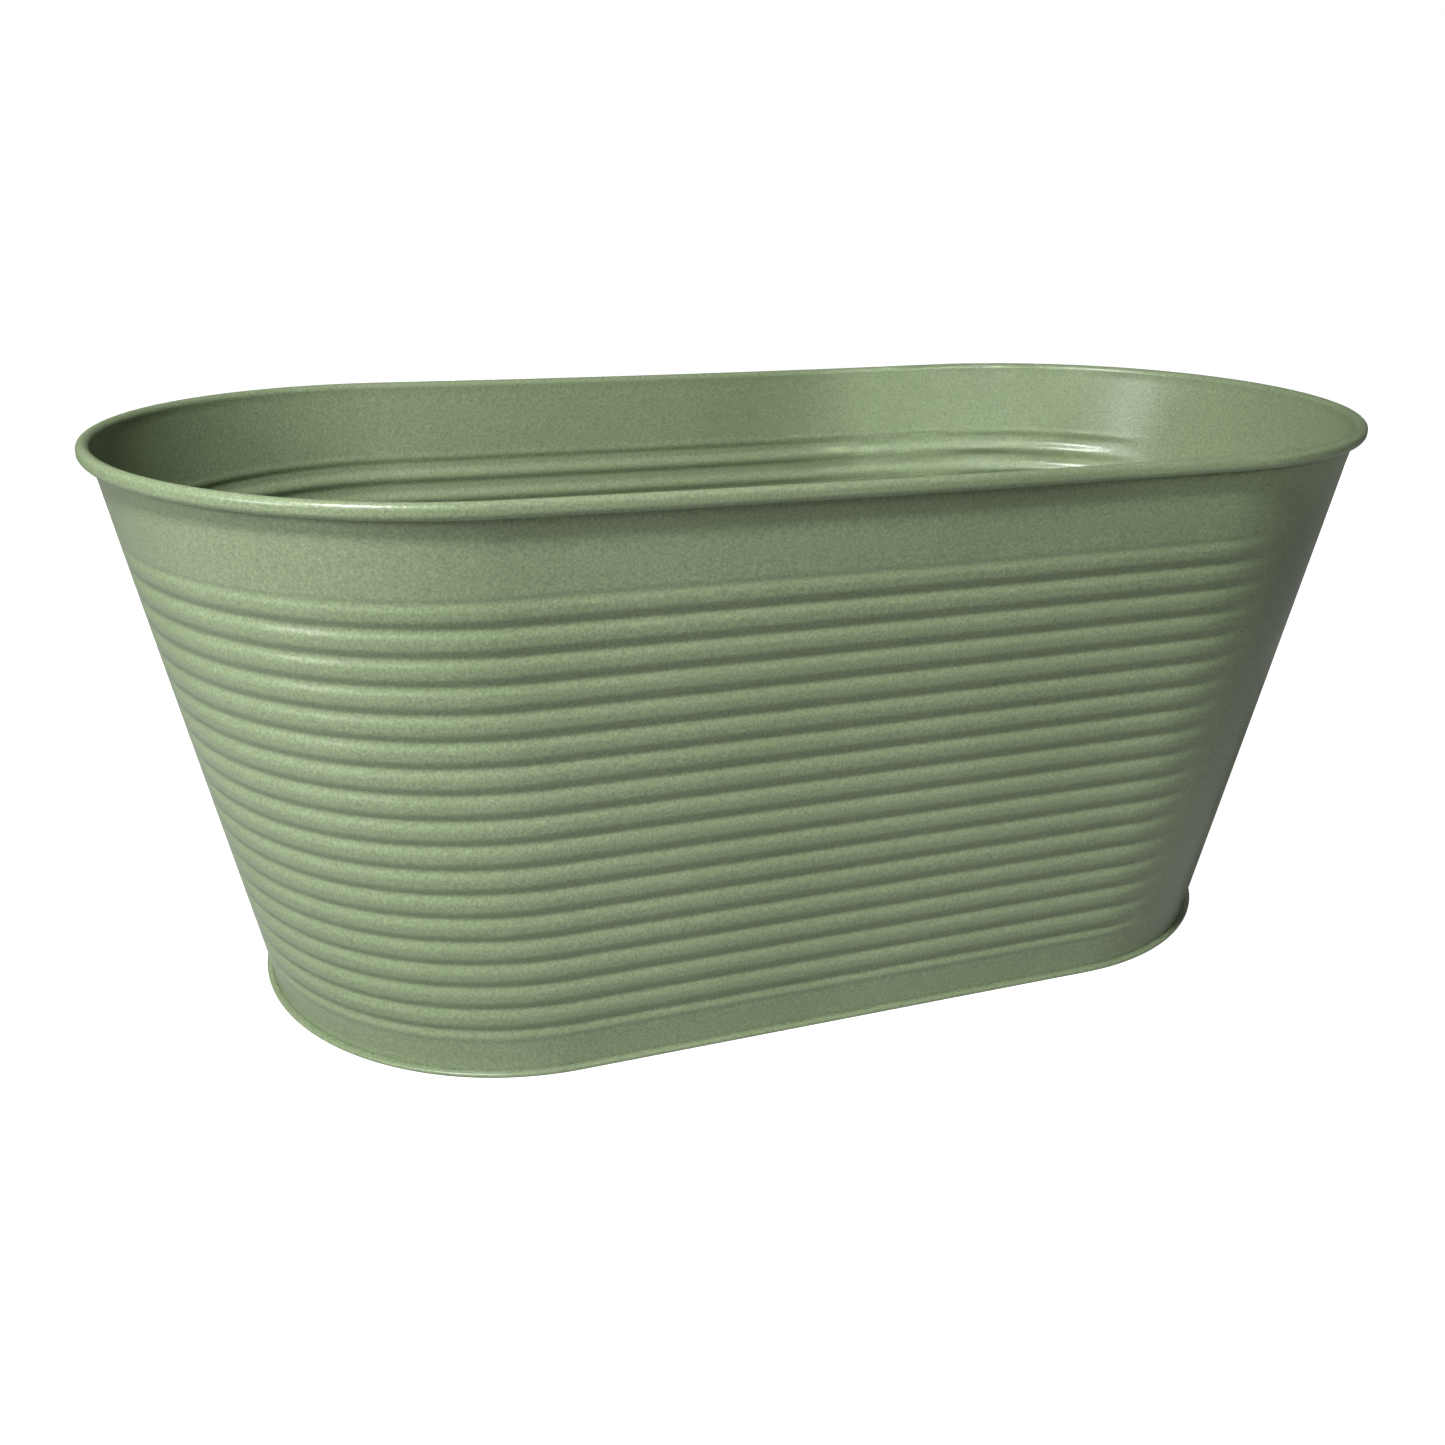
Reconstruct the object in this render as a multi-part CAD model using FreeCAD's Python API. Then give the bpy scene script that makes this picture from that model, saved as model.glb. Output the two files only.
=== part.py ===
"""Oval tub of painted sheet steel: two pressed, ribbed half shells, a hemmed base and a wired rim.

Frame: +X along the length, -Y is the front, +Z up. The origin is the middle of the foot.
All lengths are in millimetres.
"""
import FreeCAD, Part
import math
import os
from FreeCAD import Vector

# Driving dimensions -----------------------------------------------------------------------
SHEET = 0.5                    # thickness of all the sheet steel
RIM_HEIGHT = 182.4             # centre of the rim wire above the ground, halfway along
WALL_HALF_LENGTH = 214.5       # outer face of the wall, at the height of the rim wire
WALL_HALF_WIDTH = 99.8
END_DRAFT = 0.205              # how far the ends lean out for each millimetre of height
SIDE_DRAFT = 0.078             # the same for the long sides
RIM_SADDLE = 1.45              # the ends of the rim stand this much higher
FOOT_HALF_LENGTH = 178.6       # upright foot band, outer face of the wall
FOOT_HALF_WIDTH = 85.9
FOOT_BAND = 4.0                # height of the part of the foot that is upright all round
FOOT_BLEND = 0.2               # roundness of the crease above the foot band

RIB_COUNT = 17
RIB_PITCH = 8.26
TOP_VALLEY = 148.9             # height of the first valley under the top rib
RIB_DEPTH = 1.15               # valley to crest
RIB_CREST_SHARE = 0.5          # share of the depth that stands proud of the smooth bands
RIB_SHARPNESS = 1.8            # above 1 the valleys are narrower than the crests
# plan angle from the end of the tub, in degrees, at which the ribs have died out, and are full
FRONT_LEFT_FADE = (7.0, 27.0)
FRONT_RIGHT_FADE = (71.0, 91.0)
REAR_LEFT_FADE = (7.0, 27.0)
REAR_RIGHT_FADE = (30.0, 50.0)

WIRE_RADIUS = 1.65             # rim wire
CURL_RADIUS = 1.7              # inside of the curl round the wire
CURL_OFFSET = 1.65             # wire centre, outward from the neck of the wall
CURL_DROP = 1.1                # straight outer side of the curl, under the wire
CURL_END = -115.0              # direction from the wire in which the curl's edge stops
NECK = 3.0                     # height over which the wall turns upright below the curl

FLANGE_LENGTH = 0.5            # flat part of the wall's turned-out bottom edge
FLANGE_RADIUS = 0.4            # its bend, on the outer face
HEM_GAP = 0.05                 # between the layers of the foot hem
HEM_LIP = 3.2                  # top of the hem's lip above the ground
BASE_GAP = 0.15                # between the wall and the base's upright flange
BASE_HEIGHT = 8.5              # top of the base near its edge
BASE_RAISE = 1.0               # the middle of the base is pressed up by this much
BASE_MARGIN = 16.0             # width of the lower border of the base
BASE_CORNER = 2.5              # bend between the base and its flange, outer radius

SEAM_GAP = 0.15                # between the layers of the side lock seams
SEAM_SHEET = 0.4               # the hooks are pressed a little thinner than the wall
SEAM_LOW = 12.0                # the hooks run between these two heights
SEAM_HIGH = 172.0
SEAM_NOTCH = 4.2               # the rear shell stops this far from the middle of each end
BUTT_ANGLE = 0.03              # half the gap between the shells at rim and foot, in degrees

ARC_STEPS = 30                 # columns in a quarter turn of an end
STRAIGHT_STEPS = 18            # columns along a straight side
RIB_STEPS = 8                  # rows in one rib
WIRE_STEPS = 16                # points round the wire
PATCH_COLUMNS = 6              # faces of a half shell along the tub, and over its height
PATCH_ROWS = 26


# Plan outline -----------------------------------------------------------------------------
def half_length(z):
    return WALL_HALF_LENGTH - (RIM_HEIGHT - z) * END_DRAFT


def half_width(z):
    return WALL_HALF_WIDTH - (RIM_HEIGHT - z) * SIDE_DRAFT


def straight_half(z):
    """Half the straight run of the outline: the ends are half circles."""
    return half_length(z) - half_width(z)


def smooth_max(a, b, width):
    return 0.5 * (a + b + math.sqrt((a - b) ** 2 + width ** 2))


def foot_push(angle, z):
    """How far the upright foot band stands outside the sloping wall, for a plan direction."""
    lean = abs(math.cos(angle))
    sloping = straight_half(z) * lean + half_width(z)
    upright = (FOOT_HALF_LENGTH - FOOT_HALF_WIDTH) * lean + FOOT_HALF_WIDTH
    return smooth_max(sloping, upright, FOOT_BLEND) - sloping


def outline_radius(angle, z):
    return half_width(z) + foot_push(angle, z)


def place(column, plan_z, outward, z):
    """Point of the tub: a column of the outline, moved outward, at height z."""
    along, angle = column
    radius = outline_radius(angle, plan_z) + outward
    x = along * straight_half(plan_z) + radius * math.cos(angle)
    y = radius * math.sin(angle)
    return Vector(x, y, z + saddle(x, z))


def saddle(x, z):
    """Rise of the wall and rim towards the ends, none at the foot."""
    return RIM_SADDLE * (z / RIM_HEIGHT) ** 2 * (x / WALL_HALF_LENGTH) ** 2


def shell_columns(end_gap=BUTT_ANGLE):
    """Columns of the front shell, right end to left end: (side of the straight run, plan angle)."""
    gap = math.radians(end_gap)
    quarter = math.pi / 2
    columns = []
    for i in range(ARC_STEPS):
        columns.append((1.0, -gap - (quarter - gap) * i / ARC_STEPS))
    for i in range(STRAIGHT_STEPS + 1):
        columns.append((1.0 - 2.0 * i / STRAIGHT_STEPS, -quarter))
    for i in range(1, ARC_STEPS + 1):
        columns.append((-1.0, -quarter - (quarter - gap) * i / ARC_STEPS))
    return columns


# Ribs -------------------------------------------------------------------------------------
def smooth_step(value):
    value = min(max(value, 0.0), 1.0)
    return value * value * (3.0 - 2.0 * value)


def rib_fade(column, right_fade, left_fade):
    """1 where the ribs are full, 0 where the wall is smooth, from the column's plan angle."""
    along, angle = column
    off_axis = math.degrees(abs(math.atan2(math.sin(angle), abs(math.cos(angle)))))
    if abs(along) < 1.0:
        off_axis = 90.0 + 90.0 * (1.0 - abs(along))
    died, full = right_fade if along > 0 else left_fade
    return smooth_step((off_axis - died) / (full - died))


def rib_offset(z):
    """Outward offset of the outer face at height z, at full rib depth."""
    top = TOP_VALLEY + RIB_PITCH
    bottom = top - RIB_COUNT * RIB_PITCH
    turns = (top - z) / RIB_PITCH
    wave = abs(math.cos(math.pi * turns)) ** (2.0 * RIB_SHARPNESS)
    profile = RIB_DEPTH * (RIB_CREST_SHARE - wave)
    run_in = smooth_step((top + 0.15 * RIB_PITCH - z) / (0.55 * RIB_PITCH))
    run_out = smooth_step((z - bottom + 0.6 * RIB_PITCH) / (0.5 * RIB_PITCH))
    return profile * run_in * run_out


# Section of the wall: rows of (plan height, outward, height, normal or None) ---------------
def foot_rows():
    """The turned-out bottom edge and its bend, from the tip to the upright band."""
    face = 2 * (SHEET + HEM_GAP) - HEM_GAP
    centre_z = face + FLANGE_RADIUS
    rows = []
    for i in range(3):
        outward = FLANGE_RADIUS + FLANGE_LENGTH * (1 - i / 3.0)
        rows.append((FOOT_BAND, outward, face, (0.0, 1.0)))
    for i in range(7):
        angle = math.radians(-90.0 - 15.0 * i)
        outward = FLANGE_RADIUS + FLANGE_RADIUS * math.cos(angle)
        z = centre_z + FLANGE_RADIUS * math.sin(angle)
        rows.append((FOOT_BAND, outward, z, (-math.cos(angle), -math.sin(angle))))
    return rows


def wall_heights():
    """Heights of the rows between the foot bend and the neck, denser in the ribs."""
    heights = [1.9, 2.6, 3.4, 4.4, 5.4, 6.2, 6.8, 7.4, 8.2, 9.2]
    bottom = TOP_VALLEY + RIB_PITCH * (1 - RIB_COUNT) - 0.6 * RIB_PITCH
    count = round((RIB_COUNT + 0.75) * RIB_STEPS) + 4
    step = RIB_PITCH / RIB_STEPS
    heights += [bottom - 1.5 * step + i * step for i in range(count)]
    last = heights[-1]
    neck_low = RIM_HEIGHT - NECK
    heights += [last + (neck_low - last) * i / 6.0 for i in range(1, 7)]
    heights += [neck_low + NECK * i / 9.0 for i in range(1, 9)]
    return heights


def neck_plan(z):
    """Plan height that stops rising at the neck, so that the sloping wall ends upright."""
    low = RIM_HEIGHT - NECK
    if z <= low:
        return max(z, FOOT_BAND)
    return z - (z - low) ** 2 / (2.0 * NECK)


def neck_offset(z):
    inset = CURL_RADIUS - CURL_OFFSET
    return -inset * smooth_step((z - RIM_HEIGHT + NECK) / NECK)


def curl_rows():
    """The rim curl: up the inner side, over the wire, down outside and in under it."""
    plan = neck_plan(RIM_HEIGHT)
    rows = []
    for i in range(19):
        angle = math.radians(180.0 - 10.0 * i)
        rows.append(curl_row(plan, angle, 0.0))
    rows.append(curl_row(plan, 0.0, 0.5 * CURL_DROP))
    steps = 10
    for i in range(steps + 1):
        rows.append(curl_row(plan, math.radians(CURL_END * i / steps), CURL_DROP))
    return rows


def curl_row(plan, angle, drop):
    outward = CURL_OFFSET + CURL_RADIUS * math.cos(angle)
    z = RIM_HEIGHT - drop + CURL_RADIUS * math.sin(angle)
    return plan, outward, z, (-math.cos(angle), -math.sin(angle))


# One half shell ----------------------------------------------------------------------------
def wall_point(column, z, fade):
    outward = rib_offset(z) * fade + neck_offset(z)
    return place(column, neck_plan(z), outward, z)


def offset_point(point, column, normal, distance):
    angle = column[1]
    radial, up = normal
    step = Vector(radial * math.cos(angle), radial * math.sin(angle), up)
    return point + step * distance


def wall_normal(column, z, fade):
    """Normal of the wall in the plane of its section, from two points close to z."""
    reach = 0.05
    above = wall_point(column, z + reach, fade)
    below = wall_point(column, z - reach, fade)
    angle = column[1]
    run = (above - below).dot(Vector(math.cos(angle), math.sin(angle), 0.0))
    length = math.hypot(run, 2 * reach)
    return 2 * reach / length, -run / length


def column_points(column, fade):
    """Outer and inner face points of one column, from the foot edge to the curl's edge."""
    outer, inner = [], []
    for plan, outward, z, normal in foot_rows():
        point = place(column, plan, outward, z)
        outer.append(point)
        inner.append(offset_point(point, column, normal, -SHEET))
    for z in wall_heights():
        point = wall_point(column, z, fade)
        outer.append(point)
        inner.append(offset_point(point, column, wall_normal(column, z, fade), -SHEET))
    for plan, outward, z, normal in curl_rows():
        point = place(column, plan, outward, z)
        outer.append(point)
        inner.append(offset_point(point, column, normal, -SHEET))
    return outer, inner


def spread(knots, count):
    """Some of the knots, evenly chosen, so that both faces of a sheet are cut alike."""
    last = len(knots) - 1
    return [knots[round(last * i / count)] for i in range(count + 1)]


def chord_steps(points):
    steps = [0.0]
    for a, b in zip(points, points[1:]):
        steps.append(steps[-1] + a.distanceToPoint(b))
    return steps


def smooth_curve(points, steps):
    curve = Part.BSplineCurve()
    curve.interpolate(Points=points, Parameters=steps)
    return curve


def grid_surface(grid):
    """Smooth surface through a grid: curves up the columns, then across through their poles."""
    up_steps = chord_steps(grid[len(grid) // 2])
    across_steps = chord_steps([column[len(column) // 2] for column in grid])
    ups = [smooth_curve(column, up_steps) for column in grid]
    pole_columns = [curve.getPoles() for curve in ups]
    rows = [list(row) for row in zip(*pole_columns)]
    acrosses = [smooth_curve(row, across_steps) for row in rows]
    poles = [list(column) for column in zip(*[curve.getPoles() for curve in acrosses])]
    across, up = acrosses[0], ups[0]
    surface = Part.BSplineSurface()
    surface.buildFromPolesMultsKnots(
        poles, across.getMultiplicities(), up.getMultiplicities(),
        across.getKnots(), up.getKnots(), False, False, across.Degree, up.Degree)
    return surface


def grid_patches(grid, column_count, row_count):
    """A smooth surface through the grid as rows of faces, with its border edges in order."""
    surface = grid_surface(grid)
    us = spread(surface.getUKnots(), column_count)
    vs = spread(surface.getVKnots(), row_count)
    faces, border = [], []
    for i in range(column_count):
        for j in range(row_count):
            patch = surface.copy()
            patch.segment(us[i], us[i + 1], vs[j], vs[j + 1])
            faces.append(patch.toShape())
            if i == 0:
                border.append(patch.uIso(us[0]).toShape())
            if i == column_count - 1:
                border.append(patch.uIso(us[-1]).toShape())
            if j == 0:
                border.append(patch.vIso(vs[0]).toShape())
            if j == row_count - 1:
                border.append(patch.vIso(vs[-1]).toShape())
    return faces, border


def sheet_solid(outer, inner):
    outer_faces, outer_border = grid_patches(outer, PATCH_COLUMNS, PATCH_ROWS)
    inner_faces, inner_border = grid_patches(inner, PATCH_COLUMNS, PATCH_ROWS)
    faces = outer_faces + inner_faces
    faces += [Part.makeRuledSurface(a, b) for a, b in zip(outer_border, inner_border)]
    return closed_solid(faces)


def closed_solid(faces):
    shell = Part.makeShell(faces)
    shell.sewShape()
    solid = Part.makeSolid(shell)
    if solid.Volume < 0:
        solid.reverse()
    return solid


def half_shell(right_fade, left_fade):
    """A half shell on the front side, y below zero."""
    outer, inner = [], []
    for column in shell_columns():
        fade = rib_fade(column, right_fade, left_fade)
        outer_column, inner_column = column_points(column, fade)
        outer.append(outer_column)
        inner.append(inner_column)
    return sheet_solid(outer, inner)


# Bent sheet sections -----------------------------------------------------------------------
def bent_strip(start, heading, moves, thickness):
    """Face of a bent sheet in the XY plane, from its centre line of lines and arcs.

    moves: ("line", length) or ("arc", radius, degrees), where positive degrees turn left.
    """
    half = thickness / 2.0
    position = Vector(start[0], start[1], 0)
    angle = math.radians(heading)
    left, right = [], []
    for move in moves:
        ahead = Vector(math.cos(angle), math.sin(angle), 0)
        side = Vector(-ahead.y, ahead.x, 0)
        if move[0] == "line":
            end = position + ahead * move[1]
            left.append(Part.LineSegment(position + side * half, end + side * half).toShape())
            right.append(Part.LineSegment(position - side * half, end - side * half).toShape())
            position = end
            continue
        radius, turn = move[1], math.radians(move[2])
        sign = 1.0 if turn > 0 else -1.0
        centre = position + side * (radius * sign)
        left.append(arc_edge(centre, position + side * half, turn))
        right.append(arc_edge(centre, position - side * half, turn))
        position = centre + turned(position - centre, turn)
        angle += turn
    edges = close_strip(left, right)
    return Part.Face(Part.Wire(edges))


def turned(vector, angle):
    cos, sin = math.cos(angle), math.sin(angle)
    return Vector(vector.x * cos - vector.y * sin, vector.x * sin + vector.y * cos, 0)


def arc_edge(centre, start, turn):
    middle = centre + turned(start - centre, turn / 2.0)
    end = centre + turned(start - centre, turn)
    return Part.Arc(start, middle, end).toShape()


def close_strip(left, right):
    first = Part.LineSegment(left[0].firstVertex().Point, right[0].firstVertex().Point).toShape()
    last = Part.LineSegment(left[-1].lastVertex().Point, right[-1].lastVertex().Point).toShape()
    return Part.__sortEdges__([first] + left + [last] + right)


def sweep_round(section, straight, radius):
    """Carry a section round a stadium. Its x is measured outward from the stadium's line."""
    profile = section.copy()
    profile.translate(Vector(radius, 0, 0))
    profile.rotate(Vector(0, 0, 0), Vector(1, 0, 0), 90)
    profile.rotate(Vector(0, 0, 0), Vector(0, 0, 1), -90)
    end = profile.revolve(Vector(0, 0, 0), Vector(0, 0, 1), 180)
    end.translate(Vector(straight, 0, 0))
    profile.translate(Vector(-straight, 0, 0))
    side = profile.extrude(Vector(2 * straight, 0, 0))
    pieces = [side]
    for piece in (end, side, end):
        pieces.append(piece.copy())
    pieces[2].rotate(Vector(0, 0, 0), Vector(0, 0, 1), 180)
    pieces[3].rotate(Vector(0, 0, 0), Vector(0, 0, 1), 180)
    ring = pieces[0].fuse(pieces[1:])
    return ring.removeSplitter().Solids[0]


# Side lock seams ---------------------------------------------------------------------------
def end_point(z):
    """Outer face of the wall in the middle of the right end."""
    return place((1.0, 0.0), z, 0.0, z)


def seam_prism(face, side):
    """Run a plan section, x outward from the wall's face, up the sloping middle of an end.

    The left seam (side -1) is flush outside. The right one (side 1) is flush inside.
    """
    section = face.copy()
    if side > 0:
        section = section.mirror(Vector(-SHEET / 2.0, 0, 0), Vector(1, 0, 0))
    low, high = end_point(SEAM_LOW), end_point(SEAM_HIGH)
    section.translate(low)
    prism = section.extrude(high - low)
    if side < 0:
        prism = prism.mirror(Vector(0, 0, 0), Vector(1, 0, 0))
    return prism


def layer_depth(layer):
    """Depth of the middle of a seam layer, 0 being the flush one."""
    return 0.5 * SHEET + layer * (SEAM_SHEET + SEAM_GAP)


def front_hook(side):
    """Flush layer over the seam, round its far edge and back behind."""
    bend = layer_depth(1) - layer_depth(0)
    moves = [("line", 4.6), ("arc", bend, 180.0), ("line", 5.0)]
    strip = bent_strip((-layer_depth(0), -2.0), 90.0, moves, SEAM_SHEET)
    return seam_prism(strip, side)


def rear_hook(side):
    """Steps in behind the front hook and turns back between its two layers."""
    bend = layer_depth(1) - layer_depth(0)
    start_depth = layer_depth(0) + 0.1
    corner = 0.3
    drop = layer_depth(3) - start_depth - 2 * corner
    moves = [
        ("line", 0.6),
        ("arc", corner, -90.0),
        ("line", drop),
        ("arc", corner, 90.0),
        ("line", 6.3),
        ("arc", bend, 180.0),
        ("line", 5.0),
    ]
    strip = bent_strip((-start_depth, SEAM_NOTCH + 0.6), -90.0, moves, SEAM_SHEET)
    return seam_prism(strip, side)


def seam_sealant(side):
    """Strip of compound inside the front hook's fold."""
    strip = Part.makePlane(0.4, 0.45, Vector(-layer_depth(1) - 0.2, 2.35, 0))
    return seam_prism(strip, side)


# Pieces ------------------------------------------------------------------------------------
def front_wall():
    shell = half_shell(FRONT_RIGHT_FADE, FRONT_LEFT_FADE)
    return shell.fuse([front_hook(1), front_hook(-1)]).Solids[0]


def rear_wall():
    shell = half_shell(REAR_LEFT_FADE, REAR_RIGHT_FADE)
    shell.rotate(Vector(0, 0, 0), Vector(0, 0, 1), 180)
    low, high = end_point(SEAM_LOW), end_point(SEAM_HIGH)
    height = high.z - low.z + 2 * SEAM_GAP
    corner = Vector(-WALL_HALF_LENGTH - 10, -SEAM_NOTCH, low.z - SEAM_GAP)
    notch = Part.makeBox(2 * WALL_HALF_LENGTH + 20, 2 * SEAM_NOTCH, height, corner)
    return shell.cut(notch).fuse([rear_hook(1), rear_hook(-1)]).Solids[0]


def base_panel():
    """Dished base: hem lip, hem fold under the wall's flange, upright flange, floor."""
    radius = FOOT_HALF_WIDTH
    centre = SHEET / 2.0
    fold = SHEET + HEM_GAP
    lip_x = 0.45
    bend = 0.35
    fold_x = 1.1
    flange_x = -(SHEET + BASE_GAP + centre)
    inner_bend = BASE_CORNER - SHEET / 2.0
    toe_bend = 0.4
    step = BASE_RAISE / 2.0
    upright = BASE_HEIGHT - centre - inner_bend - centre - toe_bend
    lip_run = HEM_LIP - (2 * fold + centre) - bend
    floor_run = radius + flange_x - inner_bend - BASE_MARGIN
    moves = [
        ("line", lip_run),
        ("arc", bend, 90.0),
        ("line", fold_x - lip_x - bend),
        ("arc", fold, -180.0),
        ("line", fold_x - flange_x - toe_bend),
        ("arc", toe_bend, -90.0),
        ("line", upright),
        ("arc", inner_bend, 90.0),
        ("line", BASE_MARGIN - 2 * step),
        ("arc", step, -90.0),
        ("arc", step, 90.0),
        ("line", floor_run),
    ]
    section = bent_strip((lip_x, HEM_LIP), -90.0, moves, SHEET)
    straight = FOOT_HALF_LENGTH - FOOT_HALF_WIDTH
    return sweep_round(section, straight, radius)


def rim_wire():
    """The wire follows the curl: a closed, slightly saddled ring, from two equal halves."""
    plan = neck_plan(RIM_HEIGHT)
    turns = [2.0 * math.pi * i / WIRE_STEPS for i in range(WIRE_STEPS + 1)]
    grid = []
    for column in shell_columns(0.0):
        section = []
        for turn in turns:
            outward = CURL_OFFSET + WIRE_RADIUS * math.cos(turn)
            section.append(place(column, plan, outward, RIM_HEIGHT + WIRE_RADIUS * math.sin(turn)))
        grid.append(section)
    faces = grid_patches(grid, PATCH_COLUMNS, 4)[0]
    for face in faces[:]:
        other = face.copy()
        other.rotate(Vector(0, 0, 0), Vector(0, 0, 1), 180)
        faces.append(other)
    return closed_solid(faces)


def foot_seam_sealant():
    """Ring of compound in the fold of the hem, outside the edge of the wall's flange."""
    tip = FLANGE_RADIUS + FLANGE_LENGTH
    low = SHEET + 0.12
    strip = Part.makePlane(0.35, 0.36, Vector(tip + 0.06, low, 0))
    return sweep_round(strip, FOOT_HALF_LENGTH - FOOT_HALF_WIDTH, FOOT_HALF_WIDTH)


def main():
    pieces = {
        "front_wall": front_wall(),
        "rear_wall": rear_wall(),
        "base_panel": base_panel(),
        "rim_wire": rim_wire(),
        "foot_seam_sealant": foot_seam_sealant(),
        "right_seam_sealant": seam_sealant(1),
        "left_seam_sealant": seam_sealant(-1),
    }
    os.makedirs("parts", exist_ok=True)
    for name, shape in pieces.items():
        shape.exportStep("parts/" + name + ".step")
        box = shape.BoundBox
        print(name, shape.ShapeType, shape.isValid(), round(shape.Volume, 1),
              [round(v, 2) for v in (box.XMin, box.XMax, box.YMin, box.YMax, box.ZMin, box.ZMax)])


main()
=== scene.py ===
"""Oval ribbed steel tub: the painted, finely meshed pieces over the CAD frame, and the studio.

Lengths in the drawing constants are millimetres, as in the part's source. Meshes are in metres.
"""
import math
import bpy
import numpy as np
from mathutils import Matrix, Vector


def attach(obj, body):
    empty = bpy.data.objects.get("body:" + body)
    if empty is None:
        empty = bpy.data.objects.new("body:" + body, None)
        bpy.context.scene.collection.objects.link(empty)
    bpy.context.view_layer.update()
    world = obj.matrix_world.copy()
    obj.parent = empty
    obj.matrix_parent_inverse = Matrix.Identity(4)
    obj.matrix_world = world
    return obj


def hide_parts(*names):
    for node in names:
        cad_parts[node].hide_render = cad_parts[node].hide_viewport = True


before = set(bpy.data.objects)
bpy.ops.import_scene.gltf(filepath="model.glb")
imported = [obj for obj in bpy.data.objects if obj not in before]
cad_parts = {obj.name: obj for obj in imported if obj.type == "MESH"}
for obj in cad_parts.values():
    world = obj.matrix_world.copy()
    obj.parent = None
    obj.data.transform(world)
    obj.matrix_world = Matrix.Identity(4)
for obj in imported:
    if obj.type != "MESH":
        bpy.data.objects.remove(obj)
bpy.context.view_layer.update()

MM = 0.001

# The drawing -------------------------------------------------------------------------------
# It repeats the part's source, but the rim roll and the foot hem are slimmer, the rim's ends
# stand higher, the foot is shorter and the ribs start nearer the left end.
SHEET = 0.5
RIM_HEIGHT = 181.9
RIM_SADDLE = 1.95
WALL_HALF_LENGTH = 214.4
WALL_HALF_WIDTH = 99.76
END_DRAFT = 0.205
SIDE_DRAFT = 0.078
FOOT_HALF_LENGTH = 178.0
FOOT_HALF_WIDTH = 85.9
FOOT_BAND = 4.0
FOOT_BLEND = 0.2
RIB_COUNT = 17
RIB_PITCH = 8.26
TOP_VALLEY = 148.9
RIB_DEPTH = 1.15
RIB_CREST_SHARE = 0.5
RIB_SHARPNESS = 1.8
FRONT_RIGHT_FADE = (71.0, 91.0)
FRONT_LEFT_FADE = (4.0, 19.0)
REAR_LEFT_FADE = (7.0, 27.0)
REAR_RIGHT_FADE = (30.0, 50.0)
WIRE_RADIUS = 1.45
CURL_RADIUS = 1.5
CURL_OFFSET = 1.45
CURL_DROP = 0.8
CURL_END = -115.0
NECK = 3.0
FLANGE_LENGTH = 0.5
FLANGE_RADIUS = 0.4
HEM_GAP = 0.05
HEM_LIP = 1.9
SEALANT_RADIUS = 0.17
BASE_GAP = 0.15
BASE_HEIGHT = 8.5
BASE_RAISE = 1.0
BASE_MARGIN = 16.0
BASE_CORNER = 2.5
SEAM_GAP = 0.15
SEAM_SHEET = 0.4
SEAM_LOW = 12.0
SEAM_HIGH = 172.0
SEAM_NOTCH = 4.2
BUTT_ANGLE = 0.005
HOOK_OVERLAP = 2.0
HOOK_RUN = 4.6
HOOK_RETURN = 5.0
JOGGLE_LEAD = 0.6
JOGGLE_SINK = 0.1
JOGGLE_CORNER = 0.3
JOGGLE_RUN = 6.3
HEM_OUTWARD = 1.1
LIP_OUTWARD = 0.45
LIP_BEND = 0.35
TOE_BEND = 0.4

ARC_STEPS = 56
STRAIGHT_STEPS = 28
RIB_STEPS = 18
RING_STEPS = 24
SEAM_ROWS = 40
NORMAL_SPAN = 0.05

# Colours, the camera and the lights --------------------------------------------------------
# In metres, degrees and watts. The daylight is in watts per square metre.
PAINT = (0.205, 0.262, 0.150, 1.0)
PAINT_LIGHT = (0.235, 0.292, 0.175, 1.0)
PAINT_DARK = (0.172, 0.226, 0.122, 1.0)
SCUFF = (0.40, 0.45, 0.34, 1.0)
SCUFF_SHARE = 0.35
RIM_WEAR = (0.1822, 0.1842)
HEM_WEAR = (0.0014, 0.0004)
STEEL = ((0.30, 0.30, 0.29, 1.0), (0.52, 0.52, 0.50, 1.0))
COMPOUND = ((0.035, 0.035, 0.033, 1.0), (0.06, 0.06, 0.056, 1.0))
WHITE = (1.0, 1.0, 1.0, 1.0)
FLOOR_GREY = (0.44, 0.44, 0.44, 1.0)
FLOOR_GLOW = 1.0
FLOOR_HALF = 6.0
CAMERA_PLACE = (-0.1901, -0.4520, 0.2665)
CAMERA_YAW = -20.20
CAMERA_PITCH = 21.65
CAMERA_ROLL = 1.11
CAMERA_LENS = 35.774
CAMERA_SHIFT = 0.0173
MIDDLE = (0.0, 0.0, 0.09)
WINDOW_TARGET = (0.13, 0.09, 0.165)
FILL = 0.05
KEY_POWER = 11.0
NEAR_POWER = 2.3
SUN_POWER = 0.45
WINDOW_POWER = 0.03
BACK_POWER = 5.5
SIDE_POWER = 3.0


# Plan outline ------------------------------------------------------------------------------
def half_length(z):
    return WALL_HALF_LENGTH - (RIM_HEIGHT - z) * END_DRAFT


def half_width(z):
    return WALL_HALF_WIDTH - (RIM_HEIGHT - z) * SIDE_DRAFT


def straight_half(z):
    return half_length(z) - half_width(z)


def smooth_max(a, b, width):
    return 0.5 * (a + b + np.sqrt((a - b) ** 2 + width ** 2))


def smooth_step(value):
    value = np.clip(value, 0.0, 1.0)
    return value * value * (3.0 - 2.0 * value)


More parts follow.
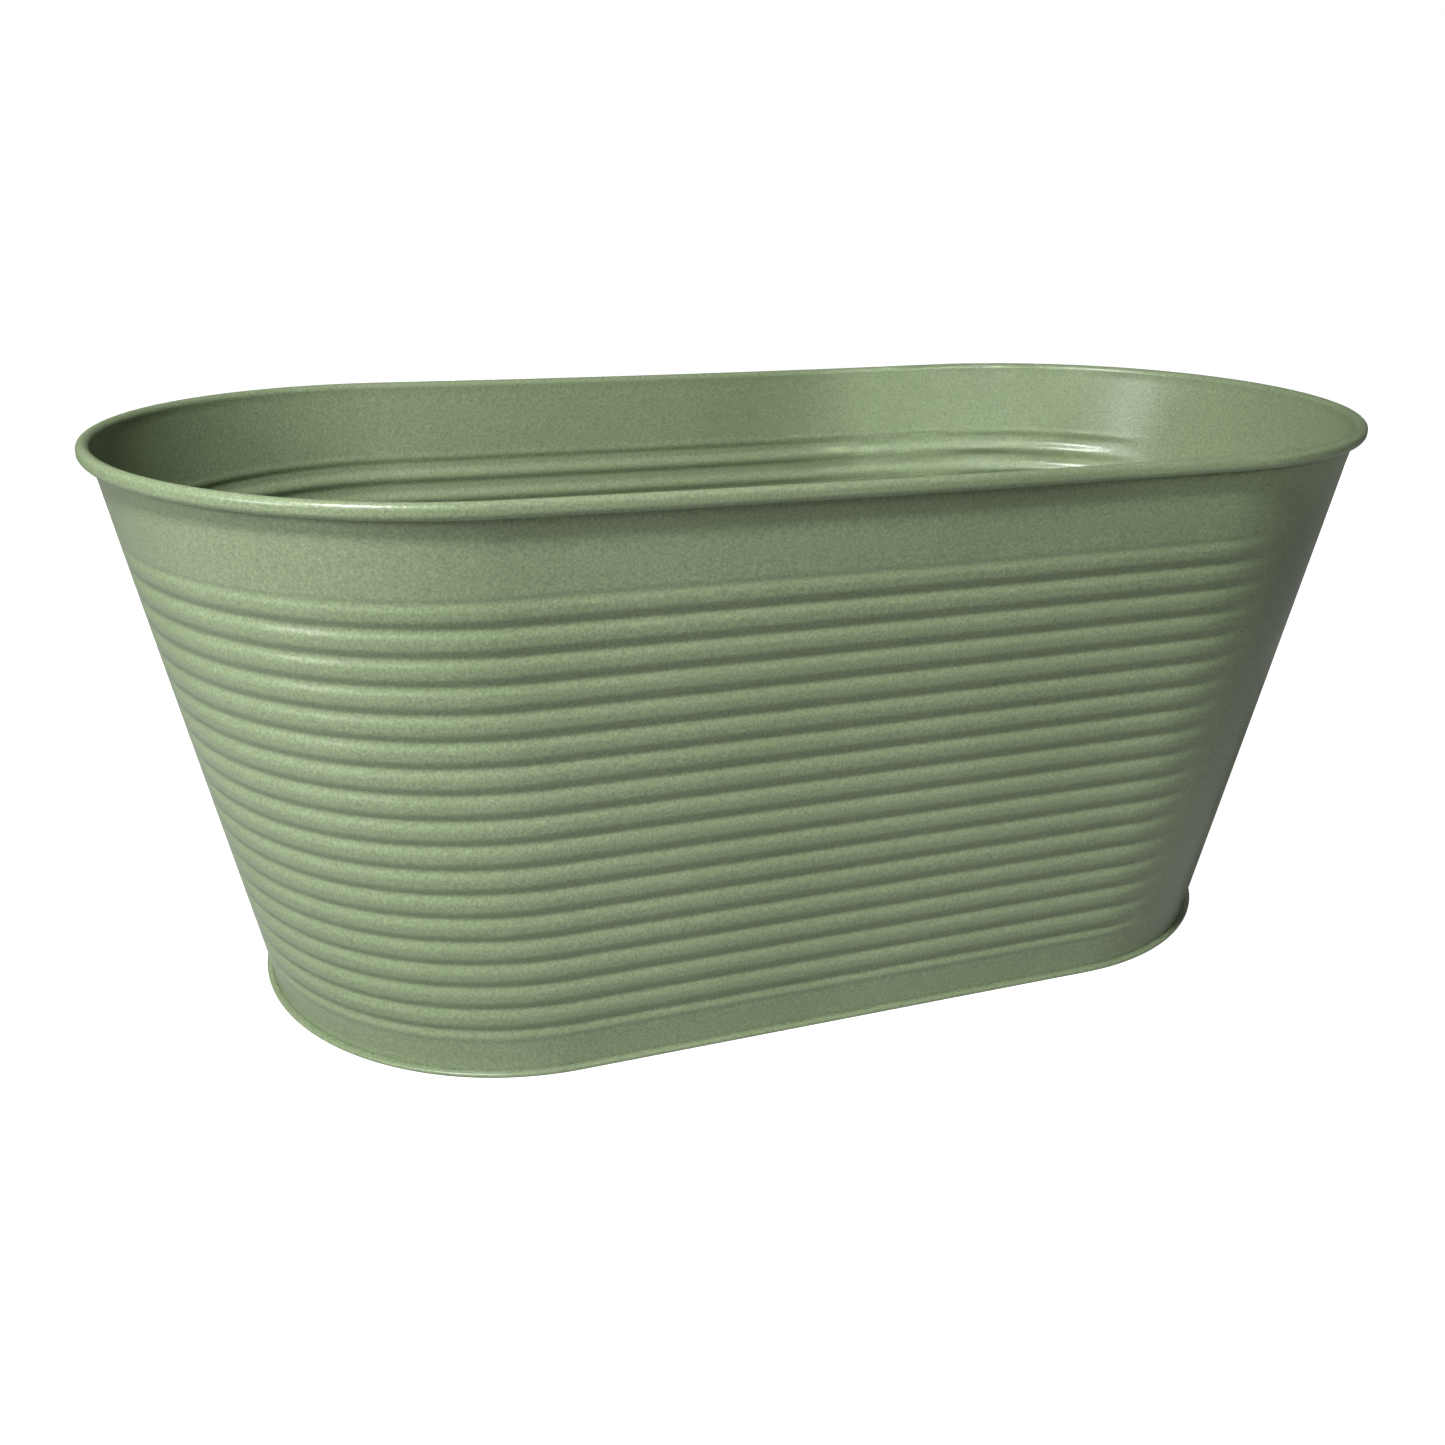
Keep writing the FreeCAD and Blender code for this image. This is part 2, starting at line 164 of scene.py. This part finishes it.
def outline_radius(angle, z):
    """Distance of the wall's outer face from the end's middle line, in a plan direction."""
    lean = np.abs(np.cos(angle))
    sloping = straight_half(z) * lean + half_width(z)
    upright = (FOOT_HALF_LENGTH - FOOT_HALF_WIDTH) * lean + FOOT_HALF_WIDTH
    return half_width(z) + smooth_max(sloping, upright, FOOT_BLEND) - sloping


def place(along, angle, plan_z, outward, z):
    radius = outline_radius(angle, plan_z) + outward
    x = along * straight_half(plan_z) + radius * np.cos(angle)
    y = radius * np.sin(angle)
    rise = RIM_SADDLE * (z / RIM_HEIGHT) ** 2 * (x / WALL_HALF_LENGTH) ** 2
    return np.stack([x, y, z + rise], axis=-1)


def shell_columns():
    """Side of the straight run and plan angle of each column, right end to left end."""
    gap = math.radians(BUTT_ANGLE)
    quarter = np.linspace(-gap, -math.pi / 2, ARC_STEPS + 1)
    middle = np.linspace(1.0, -1.0, STRAIGHT_STEPS + 1)[1:-1]
    along = np.concatenate([np.ones(ARC_STEPS + 1), middle, -np.ones(ARC_STEPS + 1)])
    angle = np.concatenate([quarter, np.full(len(middle), -math.pi / 2), -math.pi - quarter[::-1]])
    return along, angle


def ring_columns():
    """The same for the whole ring, once round."""
    along, angle = shell_columns()
    return np.concatenate([along, -along]), np.concatenate([angle, angle - math.pi])


# Ribs --------------------------------------------------------------------------------------
def rib_fade(along, angle, fades):
    """Share of the rib depth, from a fade for the +X end and one for the -X end."""
    off_axis = np.degrees(np.abs(np.arctan2(np.sin(angle), np.abs(np.cos(angle)))))
    off_axis = off_axis + 90.0 * (1.0 - np.abs(along))
    ahead, behind = fades
    died = np.where(along > 0, ahead[0], behind[0])
    full = np.where(along > 0, ahead[1], behind[1])
    return smooth_step((off_axis - died) / (full - died))


def rib_offset(z):
    top = TOP_VALLEY + RIB_PITCH
    bottom = top - RIB_COUNT * RIB_PITCH
    wave = np.abs(np.cos(math.pi * (top - z) / RIB_PITCH)) ** (2.0 * RIB_SHARPNESS)
    profile = RIB_DEPTH * (RIB_CREST_SHARE - wave)
    run_in = smooth_step((top + 0.15 * RIB_PITCH - z) / (0.55 * RIB_PITCH))
    run_out = smooth_step((z - bottom + 0.6 * RIB_PITCH) / (0.5 * RIB_PITCH))
    return profile * run_in * run_out


# Wall section ------------------------------------------------------------------------------
def neck_plan(z):
    low = RIM_HEIGHT - NECK
    return np.where(z <= low, np.maximum(z, FOOT_BAND), z - (z - low) ** 2 / (2.0 * NECK))


def neck_offset(z):
    return (CURL_OFFSET - CURL_RADIUS) * smooth_step((z - RIM_HEIGHT + NECK) / NECK)


def wall_heights():
    foot = np.concatenate([np.linspace(1.9, 4.4, 6), np.linspace(4.8, 9.2, 16)])
    bottom = TOP_VALLEY + RIB_PITCH * (1 - RIB_COUNT) - 0.6 * RIB_PITCH
    top = TOP_VALLEY + 1.3 * RIB_PITCH
    ribs = np.arange(bottom - 1.0, top, RIB_PITCH / RIB_STEPS)
    band = np.linspace(ribs[-1], RIM_HEIGHT - NECK, 9)[1:]
    neck = np.linspace(RIM_HEIGHT - NECK, RIM_HEIGHT, 15)[1:-1]
    return np.concatenate([foot, ribs, band, neck])


def bent_rows(radius, first, last, count, centre, plan):
    """Rows of a bend: (plan height, outward, height, radial normal, upward normal)."""
    angles = np.radians(np.linspace(first, last, count))
    outward = centre[0] + radius * np.cos(angles)
    z = centre[1] + radius * np.sin(angles)
    return [(plan, o, h, -math.cos(a), -math.sin(a)) for o, h, a in zip(outward, z, angles)]


def wall_grids(fades):
    """Outer and inner face points (rows, columns, 3) of a front-side half shell."""
    along, angle = shell_columns()
    face = 2 * SHEET + HEM_GAP
    plan = float(neck_plan(RIM_HEIGHT))
    foot = [(FOOT_BAND, FLANGE_RADIUS + FLANGE_LENGTH * k, face, 0.0, 1.0) for k in (1.0, 0.5)]
    foot += bent_rows(FLANGE_RADIUS, -90, -180, 8, (FLANGE_RADIUS, face + FLANGE_RADIUS), FOOT_BAND)
    curl = bent_rows(CURL_RADIUS, 180, 0, 28, (CURL_OFFSET, RIM_HEIGHT), plan)
    low = (CURL_OFFSET, RIM_HEIGHT - CURL_DROP)
    curl += bent_rows(CURL_RADIUS, 0, CURL_END, 18, low, plan)
    outer, inner = [], []

    def add(row):
        plan_z, outward, z, radial, up = row
        point = place(along, angle, plan_z, outward, z)
        step = np.stack([radial * np.cos(angle), radial * np.sin(angle), up + 0 * angle], axis=-1)
        outer.append(point)
        inner.append(point - SHEET * step)

    for row in foot:
        add(row)
    fade = rib_fade(along, angle, fades)
    for z in wall_heights():
        around = []
        for height in (z - NORMAL_SPAN, z, z + NORMAL_SPAN):
            offset = rib_offset(height) * fade + neck_offset(height)
            around.append(place(along, angle, neck_plan(height), offset, height))
        run = around[2] - around[0]
        lean = run[:, 0] * np.cos(angle) + run[:, 1] * np.sin(angle)
        rise = 2.0 * NORMAL_SPAN
        length = np.hypot(lean, rise)
        normal = np.stack([rise * np.cos(angle), rise * np.sin(angle), -lean], axis=-1)
        outer.append(around[1])
        inner.append(around[1] - SHEET * normal / length[:, None])
    for row in curl:
        add(row)
    return np.array(outer), np.array(inner)


# Meshes ------------------------------------------------------------------------------------
def grid_faces(rows, columns, start, flip, closed=False):
    faces = []
    wrap = columns if closed else columns - 1
    for i in range(rows - 1):
        for j in range(wrap):
            k = (j + 1) % columns
            quad = (start + i * columns + j, start + i * columns + k,
                    start + (i + 1) * columns + k, start + (i + 1) * columns + j)
            faces.append(quad[::-1] if flip else quad)
    return faces


def sheet_mesh(outer, inner):
    """Vertices and faces of a closed sheet between two grids with open borders."""
    rows, columns = outer.shape[:2]
    size = rows * columns
    vertices = np.concatenate([outer.reshape(-1, 3), inner.reshape(-1, 3)])
    faces = grid_faces(rows, columns, 0, True) + grid_faces(rows, columns, size, False)
    ring = list(range(columns))
    ring += [i * columns + columns - 1 for i in range(1, rows)]
    ring += [(rows - 1) * columns + j for j in range(columns - 2, -1, -1)]
    ring += [i * columns for i in range(rows - 2, 0, -1)]
    for a, b in zip(ring, ring[1:] + ring[:1]):
        faces.append((a, b, b + size, a + size))
    return vertices, faces


def make_object(name, parts, material, sharp=40.0):
    """One object from several (vertices in millimetres, faces) parts."""
    vertices, faces, start = [], [], 0
    for points, quads in parts:
        vertices.append(points)
        faces += [tuple(start + i for i in quad) for quad in quads]
        start += len(points)
    mesh = bpy.data.meshes.new(name)
    mesh.from_pydata((np.concatenate(vertices) * MM).tolist(), [], faces)
    mesh.validate()
    mesh.shade_smooth()
    mesh.set_sharp_from_angle(angle=math.radians(sharp))
    mesh.materials.append(material)
    piece = bpy.data.objects.new(name, mesh)
    bpy.context.scene.collection.objects.link(piece)
    return piece


def turned_half(points):
    return points * np.array([-1.0, -1.0, 1.0])


# Bent strips -------------------------------------------------------------------------------
def strip_outline(start, heading, moves, thickness, arc_step=9.0):
    """Left and right edge points of a bent sheet's section, from its centre line."""
    position = np.array(start, float)
    angle = math.radians(heading)
    centres, sides = [], []

    def note():
        centres.append(position.copy())
        sides.append(np.array([-math.sin(angle), math.cos(angle)]))

    note()
    for move in moves:
        if move[0] == "line":
            position += move[1] * np.array([math.cos(angle), math.sin(angle)])
            note()
            continue
        radius, total = move[1], math.radians(move[2])
        count = max(2, math.ceil(abs(move[2]) / arc_step))
        sign = 1.0 if total > 0 else -1.0
        centre = position + radius * sign * np.array([-math.sin(angle), math.cos(angle)])
        for _ in range(count):
            angle += total / count
            position = centre - radius * sign * np.array([-math.sin(angle), math.cos(angle)])
            note()
    centres, sides = np.array(centres), np.array(sides)
    return centres + sides * thickness / 2, centres - sides * thickness / 2


def layer_depth(layer):
    return 0.5 * SHEET + layer * (SEAM_SHEET + SEAM_GAP)


def hook_mesh(edges, side):
    """A lock seam layer: its plan section carried up the sloping end.

    The left seam (side -1) is flush outside. The right one (side 1) is flush inside.
    """
    grids = []
    for edge in edges:
        depth = -SHEET - edge[:, 0] if side > 0 else edge[:, 0]
        rows = []
        for z in np.linspace(SEAM_LOW, SEAM_HIGH, SEAM_ROWS):
            end = place(np.array([1.0]), np.array([0.0]), z, 0.0, z)[0]
            rows.append(np.stack([side * (end[0] + depth), edge[:, 1], end[2] + 0 * depth], axis=-1))
        grids.append(np.array(rows))
    return sheet_mesh(grids[0], grids[1])


def front_hook(side):
    bend = layer_depth(1) - layer_depth(0)
    moves = [("line", HOOK_RUN), ("arc", bend, 180.0), ("line", HOOK_RETURN)]
    edges = strip_outline((-layer_depth(0), -HOOK_OVERLAP), 90.0, moves, SEAM_SHEET)
    return hook_mesh(edges, side)


def rear_hook(side):
    bend = layer_depth(1) - layer_depth(0)
    depth = layer_depth(0) + JOGGLE_SINK
    drop = layer_depth(3) - depth - 2 * JOGGLE_CORNER
    moves = [("line", JOGGLE_LEAD), ("arc", JOGGLE_CORNER, -90.0), ("line", drop),
             ("arc", JOGGLE_CORNER, 90.0), ("line", JOGGLE_RUN), ("arc", bend, 180.0),
             ("line", HOOK_RETURN)]
    edges = strip_outline((-depth, SEAM_NOTCH + JOGGLE_LEAD), -90.0, moves, SEAM_SHEET)
    return hook_mesh(edges, side)


# Studio and paint --------------------------------------------------------------------------
def link(tree, a, out, b, into):
    tree.links.new(a.outputs[out], b.inputs[into])


def new_node(tree, kind, **values):
    node = tree.nodes.new(kind)
    for key, value in values.items():
        if key in node.inputs:
            node.inputs[key].default_value = value
        else:
            setattr(node, key, value)
    return node


def noise(tree, coords, scale, detail=2.0, rough=0.5):
    node = new_node(tree, "ShaderNodeTexNoise", Scale=scale, Detail=detail, Roughness=rough)
    link(tree, coords, "Object", node, "Vector")
    return node


def remap(tree, source, out, low, high, to_low, to_high):
    node = tree.nodes.new("ShaderNodeMapRange")
    node.inputs["From Min"].default_value = low
    node.inputs["From Max"].default_value = high
    node.inputs["To Min"].default_value = to_low
    node.inputs["To Max"].default_value = to_high
    link(tree, source, out, node, "Value")
    return node


def maths(tree, operation, a, b):
    node = new_node(tree, "ShaderNodeMath", operation=operation)
    for k, value in enumerate((a, b)):
        if isinstance(value, (int, float)):
            node.inputs[k].default_value = value
        else:
            tree.links.new(value, node.inputs[k])
    return node.outputs[0]


def mix_colour(tree, factor, a, b, blend="MIX"):
    node = new_node(tree, "ShaderNodeMix", data_type="RGBA", blend_type=blend)
    for socket, value in ((node.inputs[0], factor), (node.inputs[6], a), (node.inputs[7], b)):
        if isinstance(value, (int, float, tuple)):
            socket.default_value = value
        else:
            tree.links.new(value, socket)
    return node.outputs[2]


def paint_material():
    """Sage satin paint: fine grain, cloudy tone, thin paint and scuffs on the rim and hem."""
    material = bpy.data.materials.new("sage_paint")
    material.use_nodes = True
    tree = material.node_tree
    shader = tree.nodes["Principled BSDF"]
    coords = tree.nodes.new("ShaderNodeTexCoord")

    clouds = noise(tree, coords, 9.0, 3.0, 0.55)
    tone = remap(tree, clouds, "Fac", 0.36, 0.64, 0.0, 1.0)
    colour = mix_colour(tree, tone.outputs[0], PAINT_DARK, PAINT_LIGHT)
    colour = mix_colour(tree, 0.55, colour, PAINT)

    speckle = noise(tree, coords, 1300.0, 2.0, 0.6)
    grain = remap(tree, speckle, "Fac", 0.30, 0.70, 0.76, 1.24)
    grey = new_node(tree, "ShaderNodeCombineColor")
    for channel in ("Red", "Green", "Blue"):
        link(tree, grain, 0, grey, channel)
    colour = mix_colour(tree, 1.0, colour, grey.outputs[0], "MULTIPLY")

    place_at = tree.nodes.new("ShaderNodeSeparateXYZ")
    link(tree, coords, "Object", place_at, "Vector")
    rim = remap(tree, place_at, "Z", *RIM_WEAR, 0.0, 1.0)
    hem = remap(tree, place_at, "Z", *HEM_WEAR, 0.0, 1.0)
    edges = maths(tree, "MAXIMUM", rim.outputs[0], hem.outputs[0])
    patches = noise(tree, coords, 60.0, 5.0, 0.7)
    worn = remap(tree, patches, "Fac", 0.58, 0.72, 0.0, 1.0)
    fine = noise(tree, coords, 480.0, 3.0, 0.7)
    flecks = remap(tree, fine, "Fac", 0.50, 0.62, 0.0, 1.0)
    wear = maths(tree, "MULTIPLY", maths(tree, "MULTIPLY", edges, worn.outputs[0]), flecks.outputs[0])
    wear = maths(tree, "MULTIPLY", wear, SCUFF_SHARE)
    colour = mix_colour(tree, wear, colour, SCUFF)
    tree.links.new(colour, shader.inputs["Base Color"])

    sheen_noise = noise(tree, coords, 26.0, 3.0, 0.6)
    rough = remap(tree, sheen_noise, "Fac", 0.3, 0.7, 0.28, 0.35)
    rough = maths(tree, "ADD", rough.outputs[0], maths(tree, "MULTIPLY", wear, 0.15))
    tree.links.new(rough, shader.inputs["Roughness"])
    shader.inputs["Metallic"].default_value = 0.0
    shader.inputs["IOR"].default_value = 1.5
    shader.inputs["Specular IOR Level"].default_value = 0.5

    peel = noise(tree, coords, 850.0, 2.0, 0.5)
    swell = noise(tree, coords, 120.0, 2.0, 0.5)
    relief = maths(tree, "ADD", maths(tree, "MULTIPLY", speckle.outputs["Fac"], 0.35), peel.outputs["Fac"])
    relief = maths(tree, "ADD", relief, maths(tree, "MULTIPLY", swell.outputs["Fac"], 1.2))
    bump = new_node(tree, "ShaderNodeBump", Strength=0.5, Distance=0.00016)
    tree.links.new(relief, bump.inputs["Height"])
    link(tree, bump, "Normal", shader, "Normal")
    return material


def wire_material():
    """Drawn steel wire with faint lengthwise drawing marks."""
    material = bpy.data.materials.new("drawn_wire")
    material.use_nodes = True
    tree = material.node_tree
    shader = tree.nodes["Principled BSDF"]
    coords = tree.nodes.new("ShaderNodeTexCoord")
    marks = noise(tree, coords, 700.0, 4.0, 0.7)
    colour = mix_colour(tree, marks.outputs["Fac"], *STEEL)
    tree.links.new(colour, shader.inputs["Base Color"])
    rough = remap(tree, marks, "Fac", 0.3, 0.7, 0.3, 0.5)
    link(tree, rough, 0, shader, "Roughness")
    shader.inputs["Metallic"].default_value = 1.0
    bump = new_node(tree, "ShaderNodeBump", Strength=0.3, Distance=0.00004)
    link(tree, marks, "Fac", bump, "Height")
    link(tree, bump, "Normal", shader, "Normal")
    return material


def compound_material():
    """Grey sealing compound, dull and lumpy."""
    material = bpy.data.materials.new("seam_compound")
    material.use_nodes = True
    tree = material.node_tree
    shader = tree.nodes["Principled BSDF"]
    coords = tree.nodes.new("ShaderNodeTexCoord")
    lumps = noise(tree, coords, 400.0, 4.0, 0.6)
    colour = mix_colour(tree, lumps.outputs["Fac"], *COMPOUND)
    tree.links.new(colour, shader.inputs["Base Color"])
    rough = remap(tree, lumps, "Fac", 0.3, 0.7, 0.6, 0.8)
    link(tree, rough, 0, shader, "Roughness")
    bump = new_node(tree, "ShaderNodeBump", Strength=0.5, Distance=0.0001)
    link(tree, lumps, "Fac", bump, "Height")
    link(tree, bump, "Normal", shader, "Normal")
    return material


def floor_material():
    """Pale studio floor. It glows for the camera only, so it looks white but throws little light up."""
    material = bpy.data.materials.new("pale_floor")
    material.use_nodes = True
    tree = material.node_tree
    shader = tree.nodes["Principled BSDF"]
    shader.inputs["Base Color"].default_value = FLOOR_GREY
    shader.inputs["Roughness"].default_value = 0.9
    shader.inputs["Specular IOR Level"].default_value = 0.1
    glow = new_node(tree, "ShaderNodeEmission", Color=WHITE)
    path = tree.nodes.new("ShaderNodeLightPath")
    strength = maths(tree, "MULTIPLY", path.outputs["Is Camera Ray"], FLOOR_GLOW)
    tree.links.new(strength, glow.inputs["Strength"])
    both = tree.nodes.new("ShaderNodeAddShader")
    link(tree, shader, 0, both, 0)
    link(tree, glow, 0, both, 1)
    link(tree, both, 0, tree.nodes["Material Output"], "Surface")
    return material


# Pieces ------------------------------------------------------------------------------------
def settle(piece, node):
    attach(piece, "root")
    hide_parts(node)


def build_front_wall(paint):
    outer, inner = wall_grids((FRONT_RIGHT_FADE, FRONT_LEFT_FADE))
    parts = [sheet_mesh(outer, inner), front_hook(1), front_hook(-1)]
    settle(make_object("front_wall_sheet", parts, paint), "front_wall")


def build_rear_wall(paint):
    outer, inner = wall_grids((REAR_LEFT_FADE, REAR_RIGHT_FADE))
    vertices, faces = sheet_mesh(turned_half(outer), turned_half(inner))
    parts = [(vertices, faces), rear_hook(1), rear_hook(-1)]
    settle(make_object("rear_wall_sheet", parts, paint), "rear_wall")


def foot_place(along, angle, outward, z):
    """Points round the foot, this far outward from its outline."""
    radius = np.maximum(FOOT_HALF_WIDTH + outward, 0.0)
    x = along * (FOOT_HALF_LENGTH - FOOT_HALF_WIDTH) + radius * np.cos(angle)
    y = radius * np.sin(angle)
    return np.stack([x, y, z + 0 * x], axis=-1)


def build_base(paint):
    centre = SHEET / 2.0
    fold = SHEET + HEM_GAP
    flange_x = -(SHEET + BASE_GAP + centre)
    inner_bend = BASE_CORNER - centre
    step = BASE_RAISE / 2.0
    lip_run = HEM_LIP - (2 * fold + centre) - LIP_BEND
    upright = BASE_HEIGHT - 2 * centre - inner_bend - TOE_BEND
    floor_run = FOOT_HALF_WIDTH + flange_x - inner_bend - BASE_MARGIN
    moves = [("line", lip_run), ("arc", LIP_BEND, 90.0), ("line", HEM_OUTWARD - LIP_OUTWARD - LIP_BEND),
             ("arc", fold, -180.0), ("line", HEM_OUTWARD - flange_x - TOE_BEND), ("arc", TOE_BEND, -90.0),
             ("line", upright), ("arc", inner_bend, 90.0), ("line", BASE_MARGIN - 2 * step),
             ("arc", step, -90.0), ("arc", step, 90.0), ("line", floor_run)]
    sides = strip_outline((LIP_OUTWARD, HEM_LIP), -90.0, moves, SHEET, 7.5)
    along, angle = ring_columns()
    grids = [foot_place(along, angle, side[:, :1], side[:, 1:]) for side in sides]
    rows, columns = grids[0].shape[:2]
    size = rows * columns
    vertices = np.concatenate([grid.reshape(-1, 3) for grid in grids])
    faces = grid_faces(rows, columns, 0, False, True) + grid_faces(rows, columns, size, True, True)
    for j in range(columns):
        k = (j + 1) % columns
        faces.append((k, j, j + size, k + size))
    piece = make_object("base_sheet", [(vertices, faces)], paint)
    settle(piece, "base_panel")


def ring_mesh(rows):
    """A closed ring from rows of points that go round its section."""
    columns = len(rows[0])
    faces = grid_faces(RING_STEPS, columns, 0, False, True)
    last = (RING_STEPS - 1) * columns
    for j in range(columns):
        k = (j + 1) % columns
        faces.append((last + j, last + k, k, j))
    return np.concatenate(rows), faces


def section_turns():
    return np.linspace(0.0, 2.0 * math.pi, RING_STEPS, endpoint=False)


def build_wire(material):
    along, angle = ring_columns()
    plan = float(neck_plan(RIM_HEIGHT))
    rows = []
    for turn in section_turns():
        outward = CURL_OFFSET + WIRE_RADIUS * math.cos(turn)
        rows.append(place(along, angle, plan, outward, RIM_HEIGHT + WIRE_RADIUS * math.sin(turn)))
    settle(make_object("wire_ring", [ring_mesh(rows)], material), "rim_wire")


def build_foot_sealant(material):
    along, angle = ring_columns()
    middle = FLANGE_RADIUS + FLANGE_LENGTH + SEALANT_RADIUS
    rows = []
    for turn in section_turns():
        z = SHEET + HEM_GAP + SHEET / 2.0 + SEALANT_RADIUS * math.sin(turn)
        rows.append(foot_place(along, angle, middle + SEALANT_RADIUS * math.cos(turn), z))
    piece = make_object("foot_compound", [ring_mesh(rows)], material)
    settle(piece, "foot_seam_sealant")


def build_all():
    paint = paint_material()
    build_front_wall(paint)
    build_rear_wall(paint)
    build_base(paint)
    build_wire(wire_material())
    compound = compound_material()
    build_foot_sealant(compound)
    for name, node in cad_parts.items():
        if name.endswith("sealant"):
            node.data.materials[0] = compound


def build_floor():
    mesh = bpy.data.meshes.new("floor")
    corners = [(x * FLOOR_HALF, y * FLOOR_HALF, 0.0) for x, y in ((-1, -1), (1, -1), (1, 1), (-1, 1))]
    mesh.from_pydata(corners, [], [(0, 1, 2, 3)])
    mesh.materials.append(floor_material())
    floor = bpy.data.objects.new("floor", mesh)
    bpy.context.scene.collection.objects.link(floor)


def lamp(kind, name, location, target, power):
    """A light at a place, turned towards a target."""
    light = bpy.data.lights.new(name, kind)
    light.energy = power
    holder = bpy.data.objects.new(name, light)
    holder.location = location
    aim = Vector(target) - Vector(location)
    holder.rotation_euler = aim.to_track_quat("-Z", "Y").to_euler()
    bpy.context.scene.collection.objects.link(holder)
    return light


def build_world():
    """Even studio light, dimmer than the white backdrop that the camera sees."""
    world = bpy.data.worlds.new("studio")
    world.use_nodes = True
    tree = world.node_tree
    fill = tree.nodes["Background"]
    fill.inputs["Color"].default_value = WHITE
    fill.inputs["Strength"].default_value = FILL
    white = new_node(tree, "ShaderNodeBackground", Color=WHITE, Strength=1.0)
    path = tree.nodes.new("ShaderNodeLightPath")
    mix = tree.nodes.new("ShaderNodeMixShader")
    link(tree, path, "Is Camera Ray", mix, 0)
    link(tree, fill, 0, mix, 1)
    link(tree, white, 0, mix, 2)
    link(tree, mix, 0, tree.nodes["World Output"], "Surface")
    bpy.context.scene.world = world


def build_lights():
    """A key softbox high at the front left, a low one beyond the left end, weak daylight from
    the front, a narrow window beam that glints inside the right end, and two strips below rim
    height that light the back and the right end."""
    build_world()
    key = lamp("AREA", "key_softbox", (-0.48, -0.42, 0.88), MIDDLE, KEY_POWER)
    key.size = 0.14
    near = lamp("AREA", "near_softbox", (-0.70, -0.32, 0.42), MIDDLE, NEAR_POWER)
    near.size = 0.20
    sun = lamp("SUN", "daylight", (-0.55, -0.75, 0.70), MIDDLE, SUN_POWER)
    sun.angle = math.radians(20.0)
    window = lamp("AREA", "window", (0.12, -1.10, 0.75), WINDOW_TARGET, WINDOW_POWER)
    window.size = 0.12
    window.spread = math.radians(4.0)
    back = lamp("AREA", "back_strip", (0.10, 0.90, 0.10), MIDDLE, BACK_POWER)
    side = lamp("AREA", "side_strip", (0.62, 0.85, 0.10), MIDDLE, SIDE_POWER)
    for strip in (back, side):
        strip.shape = "RECTANGLE"
        strip.size, strip.size_y = 0.80, 0.14


def build_camera():
    """The camera stands a little to the left of the front, above the rim, and looks down."""
    yaw, pitch, roll = (math.radians(a) for a in (CAMERA_YAW, CAMERA_PITCH, CAMERA_ROLL))
    back = Vector((math.sin(yaw) * math.cos(pitch), -math.cos(yaw) * math.cos(pitch), math.sin(pitch)))
    right = Vector((math.cos(yaw), math.sin(yaw), 0.0))
    up = back.cross(right)
    rolled_right = math.cos(roll) * right + math.sin(roll) * up
    rolled_up = math.cos(roll) * up - math.sin(roll) * right
    data = bpy.data.cameras.new("camera")
    data.sensor_fit = "HORIZONTAL"
    data.sensor_width = 36.0
    data.lens = CAMERA_LENS
    data.shift_x = CAMERA_SHIFT
    data.clip_start = 0.01
    camera = bpy.data.objects.new("camera", data)
    camera.matrix_world = Matrix.Translation(CAMERA_PLACE) @ Matrix((
        (rolled_right.x, rolled_up.x, back.x, 0.0),
        (rolled_right.y, rolled_up.y, back.y, 0.0),
        (rolled_right.z, rolled_up.z, back.z, 0.0),
        (0.0, 0.0, 0.0, 1.0)))
    bpy.context.scene.collection.objects.link(camera)
    bpy.context.scene.camera = camera


build_all()
build_floor()
build_lights()
build_camera()
bpy.context.scene.view_settings.view_transform = "Standard"
